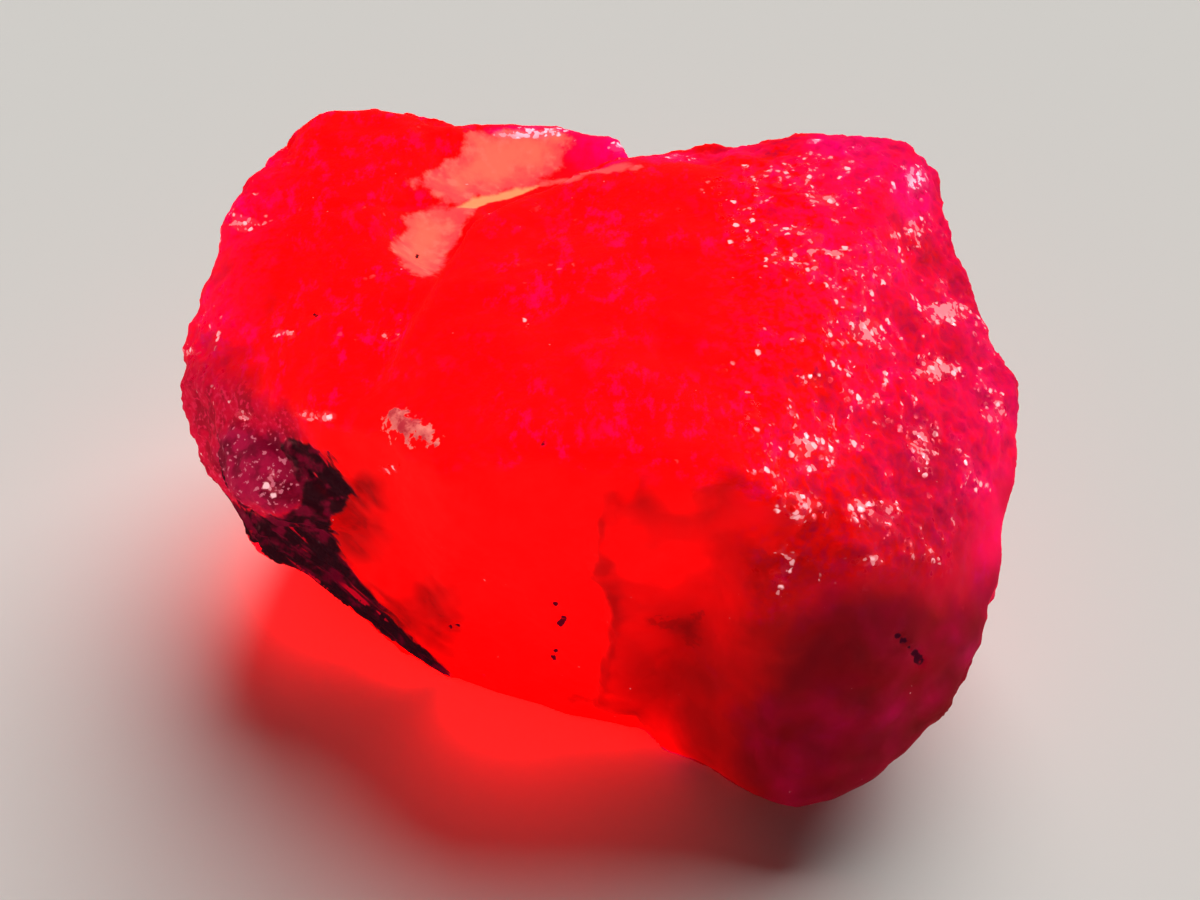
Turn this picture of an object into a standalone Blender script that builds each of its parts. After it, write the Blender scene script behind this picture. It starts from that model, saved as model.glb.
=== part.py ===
"""Raw ruby crystal: one rough, translucent lump of corundum, as broken from the rock.

The stone is one solid. It is blocked out the way a carver would rough it out: each lump of the
stone is the hull of its own corners. The rear block is hollowed by a shell-shaped fracture, the
others are joined to it, and the joined form is worn round and roughened. The stone lies on a flat
parting face.

Metres, +Z up, the front towards -Y. The origin is under the middle of the stone, on its base.
"""

import bmesh
import bpy
from mathutils import Euler, Vector

STONE = "ruby_crystal"
MM = 0.001

# The middle of the finished stone, seen from above, in the coordinates that the blocks are laid out in.
MIDDLE = (-0.97, 3.6, 0)

# The corners of each block, in millimetres: x to the right, y to the back, z up from the base.
REAR_BLOCK = (
    # rim of the left lobe, from the back round to the front
    (-20, 37, 46), (-28.5, 38, 47.5), (-34.5, 39, 47.5), (-38.5, 36.5, 46), (-41.5, 30.5, 44), (-45, 23.5, 40.5),
    (-46, 18.5, 37), (-47.5, 13, 33), (-48.5, 8, 29), (-48, 7, 26), (-45.5, 0.5, 21), (-41.5, -3.5, 17),
    (-36, -6, 12), (-29, -9, 8), (-22.5, -11.5, 4), (-18, -13, 0),
    # front of the left lobe, where it meets the main block
    (-23, -14.5, 40), (-30, -9, 38.5), (-37.5, -4, 35.5), (-42, 2, 31),
    # rim of the back slab
    (-15, 38, 45), (-7, 41, 44.5), (0, 38.5, 44.5), (4.5, 31, 46), (5, 25, 46),
    # back and foot
    (-42, 24, 20), (-31, 41, 26), (-12, 43, 24), (4, 40, 22),
    (-36, 8, -2), (-37, 20, -2), (-30, 34, -2), (-12, 39, -2), (6, 36, -2), (-18, -10, -2),
)
MAIN_BLOCK = (
    # crest above the hollow, from the back to the front
    (4, 25, 47.5), (-4.5, 20.5, 48), (-10, 17.5, 48), (-14, 14.5, 47.5), (-15.5, 9.5, 47), (-17.5, 4.5, 46),
    (-19.5, -2, 45), (-21.5, -7.5, 43), (-23, -13.5, 40.5),
    # back and right edge of the top
    (12, 27.5, 50), (18, 26, 50.5), (23.5, 24.5, 52), (29, 23, 52), (35.5, 24, 51.5), (38, 22.5, 48.5),
    (39.5, 19, 45), (42, 10, 39.5),
    # front edge of the top
    (-15.5, -21, 42), (-5, -23.5, 46), (4, -24, 46), (12.5, -24.5, 44), (18, -25.5, 40),
    # back and foot
    (31, 30, 26), (14, 36, 20), (42, 17, 22),
    (-18.5, -13, 2), (-13, -14, -2), (-4, -15.5, -2), (1.5, -17.5, -2), (7, -23, 3), (25, -17, -2),
    (37, 6, -2), (34, 20, -2), (18, 32, -2), (2, 34, -2), (-24, 10, -2),
)
RIGHT_LOBE = (
    # shoulder under the right edge of the top
    (12.5, -24, 42.5), (19, -25, 39.5), (25, -26.5, 35.5), (35, -20, 30.5), (42, 9.5, 39.5), (46, 1.5, 34.5),
    (28, 2, 45.5),
    # rim of the lobe, from the right round to the front
    (44.5, -7.5, 29), (42, -17, 24.5), (38.5, -24.5, 19.5), (35, -29.5, 15), (28.5, -34, 11.5),
    (23, -35.5, 9), (18, -35, 7.5), (13, -30.5, 6.5),
    # foot
    (7, -24, 3), (11, -22, -2), (25, -25, -2), (34, -12, -2), (38, 8, -2), (43, 14, 20),
)

# Each ellipsoid has its middle and its radii in millimetres, and its turns about x, y and z in radians.
KNOB_PLACE = (-32.5, -5.5, 27.5)
KNOB_RADII = (9, 6.5, 5.5)
KNOB_TURN = (0.1, 0.25, -0.55)

# The fracture is two smooth shell-shaped hollows, which meet in a low ridge.
HOLLOWS = (
    ("upper_hollow", (-7, 28, 51), (18, 12, 11), (0, 0, 0.15)),
    ("lower_hollow", (-17.5, 17, 49), (8, 13, 9.5), (0, 0, 0.3)),
)

# A shallow scoop under the knob leaves it standing out over the dark skin.
SCOOP_PLACE = (-44, -20, 11)
SCOOP_RADII = (24, 13, 13)
SCOOP_TURN = (0.35, 0.3, -0.62)

# Each set of lumps has its spacing and its height.
LUMPS = (("broad_lumps", 14 * MM, 2.2 * MM), ("fine_lumps", 5 * MM, 1.0 * MM))
VOXEL = 1.0 * MM
WEAR_ROUNDS = 5
FACES_KEPT = 0.16
ELLIPSOID_LEVEL = 4
GROUND = 300 * MM

RUBY_RED = (0.70, 0.01, 0.03, 1.0)
SATIN_ROUGHNESS = 0.35


def clear_scene():
    for obj in list(bpy.data.objects):
        bpy.data.objects.remove(obj)


def new_collection(name):
    collection = bpy.data.collections.new(name)
    bpy.context.scene.collection.children.link(collection)
    return collection


def new_object(name, form, collection):
    """An object from a bmesh, which is freed."""
    mesh = bpy.data.meshes.new(name)
    form.to_mesh(mesh)
    form.free()
    obj = bpy.data.objects.new(name, mesh)
    collection.objects.link(obj)
    return obj


def hull(name, corners, collection):
    """The convex solid on these corners."""
    form = bmesh.new()
    for corner in corners:
        form.verts.new(Vector(corner) * MM)
    made = bmesh.ops.convex_hull(form, input=form.verts)
    spare = {item for item in made["geom_interior"] if isinstance(item, bmesh.types.BMVert)}
    bmesh.ops.delete(form, geom=list(spare), context="VERTS")
    bmesh.ops.recalc_face_normals(form, faces=form.faces)
    return new_object(name, form, collection)


def ellipsoid(name, place, radii, turn, collection):
    form = bmesh.new()
    bmesh.ops.create_icosphere(form, subdivisions=ELLIPSOID_LEVEL, radius=1.0)
    bmesh.ops.scale(form, vec=Vector(radii) * MM, verts=form.verts)
    obj = new_object(name, form, collection)
    obj.location = Vector(place) * MM
    obj.rotation_euler = Euler(turn)
    return obj


def ground_block(collection):
    """All the space under the base plane."""
    form = bmesh.new()
    bmesh.ops.create_cube(form, size=GROUND)
    obj = new_object("base_cutter", form, collection)
    obj.location.z = -GROUND / 2
    return obj


def centre_on_origin(collections):
    """Hang every object from one empty, which brings the middle of the stone over the origin."""
    centre = bpy.data.objects.new("centre", None)
    centre.location = -Vector(MIDDLE) * MM
    bpy.context.scene.collection.objects.link(centre)
    for collection in collections:
        for obj in collection.objects:
            obj.parent = centre


def helper(obj):
    """Keep a shape that only cuts or joins out of the picture."""
    obj.hide_render = True
    obj.display_type = "WIRE"
    return obj


def boolean(stone, operation, other):
    modifier = stone.modifiers.new(other.name, "BOOLEAN")
    modifier.operation = operation
    modifier.object = helper(other)
    modifier.solver = "EXACT"


def roughen(stone):
    """Wear the sharp joins round, then raise and sink the surface in broad and in fine lumps."""
    remesh = stone.modifiers.new("one_skin", "REMESH")
    remesh.mode = "VOXEL"
    remesh.voxel_size = VOXEL
    wear = stone.modifiers.new("wear", "SMOOTH")
    wear.iterations = WEAR_ROUNDS
    for name, size, height in LUMPS:
        texture = bpy.data.textures.new(name, "CLOUDS")
        texture.noise_scale = size
        texture.noise_basis = "ORIGINAL_PERLIN"
        lumps = stone.modifiers.new(name, "DISPLACE")
        lumps.texture = texture
        lumps.texture_coords = "LOCAL"
        lumps.strength = height
    fewer = stone.modifiers.new("fewer_faces", "DECIMATE")
    fewer.ratio = FACES_KEPT


def ruby(name):
    """Deep red corundum, with the satin shine of a broken surface."""
    material = bpy.data.materials.new(name)
    material.use_nodes = True
    shader = material.node_tree.nodes["Principled BSDF"]
    shader.inputs["Base Color"].default_value = RUBY_RED
    shader.inputs["Roughness"].default_value = SATIN_ROUGHNESS
    shader.inputs["Metallic"].default_value = 0.0
    return material


def main():
    clear_scene()
    parts = new_collection(STONE)
    cutters = new_collection("cutters")
    stone = hull(STONE, REAR_BLOCK, parts)
    for name, place, radii, turn in HOLLOWS:
        boolean(stone, "DIFFERENCE", ellipsoid(name, place, radii, turn, cutters))
    boolean(stone, "DIFFERENCE", ellipsoid("scoop", SCOOP_PLACE, SCOOP_RADII, SCOOP_TURN, cutters))
    boolean(stone, "UNION", hull("main_block", MAIN_BLOCK, cutters))
    boolean(stone, "UNION", hull("right_lobe", RIGHT_LOBE, cutters))
    boolean(stone, "UNION", ellipsoid("knob", KNOB_PLACE, KNOB_RADII, KNOB_TURN, cutters))
    roughen(stone)
    boolean(stone, "DIFFERENCE", ground_block(cutters))
    centre_on_origin((parts, cutters))
    stone.data.materials.append(ruby("ruby"))
    stone.data.shade_smooth()


main()
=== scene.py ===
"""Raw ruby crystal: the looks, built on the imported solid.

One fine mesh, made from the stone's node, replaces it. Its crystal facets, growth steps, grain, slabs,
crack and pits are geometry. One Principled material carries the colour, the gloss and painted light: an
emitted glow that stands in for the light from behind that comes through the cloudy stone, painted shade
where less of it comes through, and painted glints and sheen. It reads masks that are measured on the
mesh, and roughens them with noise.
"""

import math
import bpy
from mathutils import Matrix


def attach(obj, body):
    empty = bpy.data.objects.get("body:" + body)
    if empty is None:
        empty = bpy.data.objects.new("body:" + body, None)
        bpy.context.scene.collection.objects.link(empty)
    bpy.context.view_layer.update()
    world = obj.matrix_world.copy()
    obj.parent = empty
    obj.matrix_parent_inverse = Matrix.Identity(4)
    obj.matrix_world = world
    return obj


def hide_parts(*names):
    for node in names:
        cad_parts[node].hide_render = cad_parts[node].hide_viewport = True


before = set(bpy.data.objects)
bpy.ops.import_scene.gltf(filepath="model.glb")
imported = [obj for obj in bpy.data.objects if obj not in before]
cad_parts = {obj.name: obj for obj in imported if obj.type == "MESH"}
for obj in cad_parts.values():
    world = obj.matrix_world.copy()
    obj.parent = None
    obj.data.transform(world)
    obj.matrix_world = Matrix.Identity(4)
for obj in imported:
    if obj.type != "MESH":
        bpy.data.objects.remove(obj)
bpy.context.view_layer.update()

from types import SimpleNamespace

import bpy
import numpy as np
from mathutils import Vector, noise

NODE = "ruby_crystal"
MM = 0.001

# Places below are in millimetres from the working centre, which is where the solid's blocks were laid
# out: x to the right, y to the back, z up from the base. The finished stone's middle is off it.
WORKING_CENTRE = np.array((0.97, -3.6, 0.0))

# The camera looks along +y and down, from this far off its target.
PICTURE_WIDTH = 1200
PICTURE_HEIGHT = 900
FIELD_OF_VIEW = math.radians(50.0)
CAMERA_ELEVATION = math.radians(42.0)
CAMERA_DISTANCE = 142.0
CAMERA_TARGET = np.array((0.0, -3.0, 28.0))
CAMERA_BACK = np.array((0.0, -math.cos(CAMERA_ELEVATION), math.sin(CAMERA_ELEVATION)))
CAMERA_UP = np.array((0.0, math.sin(CAMERA_ELEVATION), math.cos(CAMERA_ELEVATION)))
CAMERA_PLACE = CAMERA_TARGET + CAMERA_BACK * CAMERA_DISTANCE


# ------------------------------------------------------------------------------------ measuring

def unit(vector):
    return np.array(vector, float) / np.linalg.norm(vector)


def smooth_step(low, high, value):
    """0 below low, 1 above high, and an S-curve between."""
    t = np.clip((value - low) / (high - low), 0.0, 1.0)
    return t * t * (3.0 - 2.0 * t)


def fractal_at(points, size, octaves, seed):
    """Fractal noise about 0, with its largest lumps of about this size in millimetres."""
    moved = points / size + seed
    return np.array([noise.fractal(p, 0.8, 2.1, octaves) for p in moved.tolist()])


def mottle_at(points, size, octaves, seed):
    """The same noise, evened out so that most of it lies between -0.2 and 0.2."""
    values = fractal_at(points, size, octaves, seed)
    return (values - values.mean()) * (0.1 / values.std())


def cells_at(points, size, seed):
    """The nearest cell's centre, the distance to the joint with the next cell, and a number from 0 to 1
    that is the cell's own."""
    near = [noise.voronoi(p) for p in (points / size + seed).tolist()]
    centres = np.array([found[1][0] for found in near])
    gaps = np.array([found[0][1] - found[0][0] for found in near])
    own = np.array([noise.cell(Vector(c) * 91.7) for c in centres.tolist()])
    return (centres - seed) * size, gaps * size, own


def inside_outline(flat, outline):
    """Signed distance from each 2-D point to a closed outline, positive inside it."""
    corners = np.array(outline, float)
    nearest = np.full(len(flat), np.inf)
    inside = np.zeros(len(flat), bool)
    for start, end in zip(corners, np.roll(corners, -1, axis=0)):
        edge = end - start
        along = np.clip(((flat - start) @ edge) / (edge @ edge), 0.0, 1.0)
        nearest = np.minimum(nearest, np.linalg.norm(flat - start - along[:, None] * edge, axis=1))
        if start[1] != end[1]:
            crosses = (start[1] > flat[:, 1]) != (end[1] > flat[:, 1])
            at_x = start[0] + (flat[:, 1] - start[1]) / (end[1] - start[1]) * edge[0]
            inside ^= crosses & (flat[:, 0] < at_x)
    return np.where(inside, nearest, -nearest)


def from_line(points, line):
    """Distance to a line through these stops."""
    stops = np.array(line, float)
    nearest = np.full(len(points), np.inf)
    for start, end in zip(stops, stops[1:]):
        edge = end - start
        along = np.clip(((points - start) @ edge) / (edge @ edge), 0.0, 1.0)
        nearest = np.minimum(nearest, np.linalg.norm(points - start - along[:, None] * edge, axis=1))
    return nearest


def from_place(points, place, radii):
    """Distance from a place in units of the radii: 1 on the ellipsoid."""
    return np.linalg.norm((points - np.array(place)) / np.array(radii), axis=1)


def fade_from(points, place, radii):
    """1 at a place, fading away over the radii."""
    return np.exp(-(from_place(points, place, radii) ** 2))


def in_marks(pixels, marks):
    """1 in the middle of the nearest mark, 0 at the end of its reach, and less than 0 further out."""
    return np.max([1.0 - from_place(pixels, middle, reach) for middle, reach in marks], axis=0)


def seen(points):
    """Where the camera sees each point, in pixels of the 1200 by 900 picture, and the pixels to a
    millimetre there."""
    from_camera = points - CAMERA_PLACE
    depth = -(from_camera @ CAMERA_BACK)
    scale = PICTURE_WIDTH / 2 / math.tan(FIELD_OF_VIEW / 2) / depth
    across = PICTURE_WIDTH / 2 + from_camera[:, 0] * scale
    down = PICTURE_HEIGHT / 2 - (from_camera @ CAMERA_UP) * scale
    return np.stack((across, down), axis=1), scale


# ---------------------------------------------------------------------------------------- regions

# Outlines on the side of the stone that the camera sees, in pixels of the 1200 by 900 picture.
# The windows are smooth thin places, painted pale with the light that comes straight through them.
UPPER_WINDOW = (
    (409, 181), (425, 174), (442, 165), (445, 160), (459, 155), (467, 144), (466, 136), (473, 129),
    (512, 129), (548, 130), (572, 134), (574, 141), (563, 147), (558, 155), (561, 167), (553, 176),
    (537, 184), (514, 189), (494, 196), (476, 198), (457, 205), (441, 198), (426, 187),
)
LOWER_WINDOW = (
    (398, 217), (421, 212), (439, 206), (457, 206), (478, 206), (464, 224), (457, 240), (448, 253),
    (442, 267), (428, 279), (420, 281), (409, 273), (398, 258), (392, 244), (405, 228),
)
# The streak and the line along the crest are painted with bright light that comes through them.
STREAK = (
    (455, 207), (475, 196), (494, 194), (516, 188), (541, 184), (523, 193), (505, 199), (487, 203),
    (476, 208),
)
CREST_LINE = ((541, 185), (568, 180), (578, 178), (588, 172), (609, 171), (640, 167))
# The dark skin. Its top end, right of the knob, is partly painted shade: the knob's shaded side.
DARK_SKIN = (
    (281, 443), (295, 439), (306, 444), (318, 452), (329, 459), (343, 473), (353, 485), (363, 499),
    (352, 497), (348, 500), (345, 511), (335, 516), (330, 523), (331, 532), (336, 542), (342, 553),
    (354, 566), (363, 582), (375, 596), (398, 622), (424, 648), (462, 688), (440, 760), (100, 760),
    (150, 560), (205, 500), (226, 502), (238, 503), (256, 510), (274, 513), (300, 507), (304, 490),
    (292, 470),
)
# The crimson flank of the knob, which goes round to the left rim, and the knob itself. Both are painted
# with less glow: painted shade.
CRIMSON = (
    (184, 362), (205, 374), (232, 382), (262, 394), (290, 414), (306, 438), (286, 446), (300, 470),
    (308, 490), (300, 509), (274, 515), (256, 512), (238, 505), (226, 504), (205, 510), (150, 480),
    (150, 362),
)
KNOB = (
    (224, 435), (240, 425), (281, 432), (299, 444), (312, 460), (320, 481), (327, 502), (312, 509),
    (287, 511), (266, 510), (245, 500), (228, 484), (219, 456),
)
LOBE = (
    (768, 820), (740, 770), (744, 720), (774, 684), (796, 654), (812, 620), (828, 598), (870, 594),
    (906, 601), (940, 612), (972, 604), (1010, 560), (1100, 560), (1100, 900), (800, 900),
)
# The cloudy part of the front face begins along this edge, and goes on to the right.
CLOUDY_EDGE = (
    (634, 462), (632, 480), (619, 491), (606, 507), (599, 523), (597, 539), (599, 560), (592, 569),
    (588, 578), (599, 586), (607, 596), (610, 608), (609, 624), (607, 648), (601, 663), (599, 683),
    (590, 700), (562, 704), (590, 712), (635, 716), (646, 733),
)
CLOUDY = CLOUDY_EDGE + ((680, 900), (1300, 900), (1300, 200), (640, 200))
CHALK = (
    (385, 418), (391, 411), (403, 407), (412, 414), (425, 418), (437, 432), (431, 442), (417, 439),
    (404, 437), (392, 434),
)

# Patches of painted glints, fine white grains that stand for highlights: the middle and the reach of
# each, in pixels.
PAINTED_GLINT_MARKS = (
    # on the knob and round it
    ((276, 484), (14, 18)), ((318, 416), (32, 7)), ((245, 415), (14, 8)),
    # on the left lobe and the rims
    ((244, 225), (22, 10)), ((530, 133), (44, 10)), ((628, 153), (22, 7)), ((672, 152), (24, 6)),
    ((281, 334), (16, 8)), ((395, 470), (20, 7)), ((392, 335), (12, 8)), ((196, 352), (12, 8)),
    # alone on top
    ((535, 208), (7, 7)), ((526, 322), (6, 10)), ((584, 305), (4, 4)), ((679, 210), (6, 6)),
    ((745, 165), (6, 4)), ((757, 195), (5, 4)), ((814, 142), (12, 4)), ((858, 148), (16, 5)),
    # in bands down the right flank
    ((917, 184), (17, 22)), ((827, 202), (26, 8)), ((908, 234), (30, 24)), ((858, 237), (16, 8)),
    ((803, 264), (18, 20)), ((874, 272), (12, 10)), ((853, 328), (40, 26)), ((943, 315), (38, 18)),
    ((931, 368), (30, 19)), ((812, 380), (28, 10)), ((812, 454), (33, 30)), ((923, 448), (22, 42)),
    ((881, 420), (14, 10)), ((801, 507), (32, 24)), ((876, 514), (38, 21)), ((864, 560), (22, 9)),
    ((992, 410), (20, 20)),
)
# Where the painted glints are thickest and whitest.
BRIGHT_GLINT_MARKS = (
    ((527, 131), (19, 8)), ((560, 134), (12, 7)), ((916, 184), (9, 10)), ((945, 312), (26, 12)),
    ((868, 330), (20, 14)), ((801, 448), (12, 12)), ((860, 505), (22, 9)), ((934, 372), (18, 9)),
    ((624, 152), (8, 4)),
)
# Where the rims carry a painted lavender sheen and glints.
LAVENDER_SHEEN_MARKS = (
    ((530, 132), (50, 10)), ((602, 152), (36, 20)), ((660, 152), (50, 9)), ((735, 146), (36, 7)),
    ((845, 144), (44, 12)), ((912, 192), (22, 28)),
)
# Where the rim stands out or falls back from the solid: the middle, the reach, and how far in
# millimetres.
TRIMS = (
    ((455, 116), (52, 26), -0.9), ((720, 138), (56, 24), -1.25), ((617, 152), (20, 16), 0.9),
    ((236, 198), (22, 30), 1.3), ((276, 146), (20, 22), -1.1), ((952, 238), (24, 40), -0.8),
    ((1004, 350), (20, 26), -0.7), ((262, 540), (28, 38), 1.2), ((702, 138), (18, 16), -0.6),
    ((733, 146), (14, 12), 0.4),
)
# Smoky clouds in the front face, which dim the painted glow: the middle, the reach and the share of the
# light that each one takes.
SMOKE = (
    # in the cloudy part
    ((690, 628), (18, 15), 0.28), ((646, 498), (20, 10), 0.26), ((614, 508), (10, 22), 0.25),
    ((612, 582), (12, 26), 0.30), ((756, 606), (42, 60), 0.28), ((700, 668), (62, 26), 0.25),
    ((640, 668), (40, 40), 0.08), ((592, 700), (34, 7), 0.45), ((775, 640), (34, 50), 0.30),
    ((735, 560), (60, 20), 0.15), ((790, 575), (46, 22), 0.20),
    # beside the dark skin
    ((436, 606), (34, 36), 0.42), ((362, 526), (32, 42), 0.62), ((362, 484), (22, 11), 0.40),
    ((402, 622), (24, 20), 0.42), ((444, 644), (20, 32), 0.42),
)

# The left rim stands out below two ledges: where each begins, down the picture, and how far it stands
# out. It goes back in further down, and in from the rim.
RIM_LEDGES = (((274, 290), 0.75), ((344, 358), 0.35))
RIM_END = (520, 440)
RIM_ACROSS = (250, 200)

# The crack that runs from the left rim to the streak.
CRACK = (
    (-43, 20, 41), (-36.2, 21.6, 43.1), (-30, 20, 44.6), (-25.4, 21, 44.2), (-22, 24, 42.4),
    (-18.5, 25.2, 42),
)
# Where the dark skin goes on, out of the camera's sight: low on the left side, up to the knob, and
# under it. Each has its middle, its radii and how far round it goes.
HIDDEN_SKIN = (
    ((-40.0, -2.0, 8.0), (18.0, 15.0, 20.0), 0.02),
    ((-40.5, -4.0, 15.0), (8.0, 8.0, 6.0), 0.18),
    ((-35.0, -9.0, 25.0), (11.0, 9.0, 7.5), 1.0),
)
# The lobe's painted shade goes on round the corner to the right: the middle and the radii.
HIDDEN_LOBE = ((22.0, -32.0, 12.0), (23.0, 17.0, 22.0))
# Dark specks: where, in pixels, and the radius of each in millimetres.
SPECKS = (
    ((313, 313), 0.24), ((316, 314), 0.26), ((418, 255), 0.20), ((543, 444), 0.26), ((556, 602), 0.30),
    ((561, 622), 0.42), ((564, 618), 0.40), ((555, 652), 0.22), ((553, 659), 0.34), ((450, 627), 0.20),
    ((457, 627), 0.24), ((483, 677), 0.20), ((485, 691), 0.22), ((898, 636), 0.34), ((903, 641), 0.38),
    ((909, 647), 0.22), ((915, 653), 0.42), ((919, 660), 0.50),
)
# Painted shade: the right of the knob is painted dark, as in shadow, from the first of these pixels
# across to the second.
KNOB_SHADE = (264, 304)
# The red turns to magenta, a painted sheen, past this line down the right flank: a point on it, the way
# across, and how far to each side the change goes.
COOL_LINE = (760, 450)
COOL_ACROSS = (0.8, -0.6)
COOL_REACH = (-15, 50)
# Over the lobe the magenta is weaker: the middle and the reach.
WARM_MARK = ((915, 570), (92, 52))
# A dark forked vein in the cloudy part.
VEIN = ((652, 617), (668, 622), (684, 624), (689, 632), (694, 641), (689, 632), (692, 622), (702, 612))
# Beside the dark skin, strokes of it lie over the front face: the middle and the reach, in pixels.
STROKES = (((370, 520), (48, 50)), ((382, 606), (40, 40)))


# -------------------------------------------------------------------------------- crystal faces

# Corundum's faces keep fixed angles to its long axis: the flat ends, six sides, and six slopes.
CRYSTAL_AXIS = unit((-0.13, 0.20, 0.97))
SLOPE_ANGLE = math.radians(57.6)
FIRST_SLOPE = unit((0.55, -0.83, 0.0))


def crystal_faces():
    """The directions that the faces look in."""
    across = unit(FIRST_SLOPE - CRYSTAL_AXIS * (FIRST_SLOPE @ CRYSTAL_AXIS))
    third = np.cross(CRYSTAL_AXIS, across)
    faces = [CRYSTAL_AXIS, -CRYSTAL_AXIS]
    for turn in np.radians(np.arange(0, 360, 60)):
        outward = across * math.cos(turn) + third * math.sin(turn)
        faces.append(outward)
        faces.append(CRYSTAL_AXIS * math.cos(SLOPE_ANGLE) + outward * math.sin(SLOPE_ANGLE))
        faces.append(-CRYSTAL_AXIS * math.cos(SLOPE_ANGLE) - outward * math.sin(SLOPE_ANGLE))
    return np.array(faces)


def nearest_face(normals):
    """The crystal face that looks most nearly the way of each normal."""
    faces = crystal_faces()
    return faces[np.argmax(normals @ faces.T, axis=1)]


# ---------------------------------------------------------------------------------- the painted light inside

# Painted glow, an emission that stands in for the light from behind that comes through the stone: where
# it is, how far it reaches, and how bright it makes the surface there.
GLOWS = (
    ((-12, -18, 18), (18, 24, 20), 2.0),
    ((-14, -16, 2), (24, 10, 6), 6.0),
    ((-28, 16, 44), (22, 34, 16), 1.1),
    ((-2, 0, 50), (26, 34, 16), 0.9),
    ((20, -2, 46), (14, 24, 14), 0.35),
    ((6, -24, 34), (6, 8, 9), 0.9),
    ((-35, -4, 3), (12, 13, 7), 6.0),
    ((-24, -11, 1), (10, 8, 4), 6.0),
    ((-44, 14, 14), (10, 16, 16), 2.0),
    ((8, 38, 30), (20, 14, 18), 0.8),
    ((34, 14, 46), (16, 20, 12), 0.45),
    ((45, -12, 30), (8, 14, 14), 0.66),
    ((36, -28, 18), (9, 9, 12), 0.20),
    ((24, -10, 40), (10, 14, 10), 0.25),
)
# The least painted glow, all over the stone.
DEEP_GLOW = 0.14
# Painted shade in the glow, where the stone lets less light through: how far, and how much of the light
# it takes.
SHADES = (
    ((4.5, -25, 41.5), (2.6, 5, 1.7), 0.35),
    ((8.6, -25, 22.8), (1.9, 5, 1.7), 0.6),
    ((11.0, -26, 17.0), (7.0, 8, 8.0), 0.35),
    ((2.0, -22, 7.0), (4.5, 6, 1.6), 0.45),
    ((-18.7, -14.5, 16.2), (4.5, 5, 4.5), 0.6),
    ((-35.0, 8.2, 40.6), (4.0, 3.5, 4.0), 0.35),
    ((-38.4, 1.1, 36.7), (4.5, 4.5, 4.5), 0.4),
    ((-45.0, 2.0, 30.0), (6.0, 9.0, 8.0), 0.65),
    ((-38.0, -5.0, 33.0), (5.0, 5.0, 3.5), 0.5),
    ((26.5, 0.7, 46.5), (4.5, 4.0, 4.0), 0.35),
    ((37.6, 10.6, 42.8), (3.5, 3.5, 4.0), 0.25),
    ((31.5, 1.2, 43.4), (4.0, 2.5, 4.0), 0.25),
    ((27.3, -4.7, 43.0), (3.0, 3.0, 3.0), 0.3),
    ((22.5, -12.6, 42.8), (3.0, 3.0, 3.0), 0.35),
    ((28.4, -12.5, 39.1), (3.5, 3.0, 3.0), 0.3),
)


# ---------------------------------------------------------------------------------------- masks

# The distance that is given where a region or a line doesn't count.
FAR = 20.0
# Regions go on round the limb, as far as the surface turns away from the camera by this much.
LIMB = -0.1
# Noises on the vertices: the name, the size in millimetres, the octaves and the seed.
MOTTLES = (
    ("broad", 10.0, 4, 11.0),
    ("middle", 3.4, 4, 12.0),
    ("billow", 6.0, 3, 13.0),
    ("network", 3.4, 3, 14.0),
)


class View:
    """The vertices, and how the camera sees them."""

    def __init__(self, points, normals):
        self.points = points
        self.height = points[:, 2]
        self.up = normals[:, 2]
        self.pixels, self.scale = seen(points)
        to_camera = CAMERA_PLACE - points
        to_camera /= np.linalg.norm(to_camera, axis=1)[:, None]
        self.facing = np.einsum("ij,ij->i", normals, to_camera)
        self.in_front = self.facing > 0.0
        self.in_reach = self.facing > LIMB

    def region(self, *outlines):
        """Signed distance to the nearest of the outlines, on the side that the camera sees."""
        inside = np.max([inside_outline(self.pixels, outline) for outline in outlines], axis=0)
        return np.where(self.in_reach, inside / self.scale, -FAR)

    def off_line(self, line, counts):
        """Distance to a line of pixels, on the vertices that count."""
        return np.where(counts, from_line(self.pixels, line) / self.scale, FAR)


def dark_skin(view):
    """Signed distance to the edge of the dark skin, which leaves the underside free."""
    hidden = [
        np.minimum((1.0 - from_place(view.points, middle, radii)) * 10.0, (view.facing + wrap) * 8.0)
        for middle, radii, wrap in HIDDEN_SKIN
    ]
    skin = np.where(view.facing > 0.05, view.region(DARK_SKIN), np.max(hidden, axis=0))
    return np.minimum(skin, (view.up + 0.75) * 8.0)


def shaded_lobe(view):
    # The lobe is painted darker: painted shade, as less of the light from behind comes through it.
    hidden = (1.0 - from_place(view.points, *HIDDEN_LOBE)) * 12.0
    shown = np.where(view.points[:, 1] < 0.0, view.region(LOBE), -FAR)
    return np.where(view.facing > 0.1, shown, hidden)


def regions(view):
    """Signed distances to the edges of regions, positive inside, and distances to lines."""
    high = (view.height > 35.0) & (view.up > 0.0) & view.in_reach
    specks = [size - from_place(view.pixels, spot, (1, 1)) / view.scale for spot, size in SPECKS]
    return {
        "window": np.where(high, view.region(UPPER_WINDOW, LOWER_WINDOW), -FAR),
        "streak": np.where(high, view.region(STREAK), -FAR),
        "crest_line": view.off_line(CREST_LINE, high),
        "crack": from_line(view.points, CRACK),
        "skin": dark_skin(view),
        "knob": view.region(KNOB),
        "crimson": view.region(CRIMSON),
        "lobe": shaded_lobe(view),
        "cloudy": view.region(CLOUDY),
        "cloudy_edge": view.off_line(CLOUDY_EDGE, view.in_reach),
        "vein": view.off_line(VEIN, view.in_front),
        "chalk": view.region(CHALK),
        "speck": np.where(view.in_front, np.max(specks, axis=0), -1.0),
    }


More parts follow.
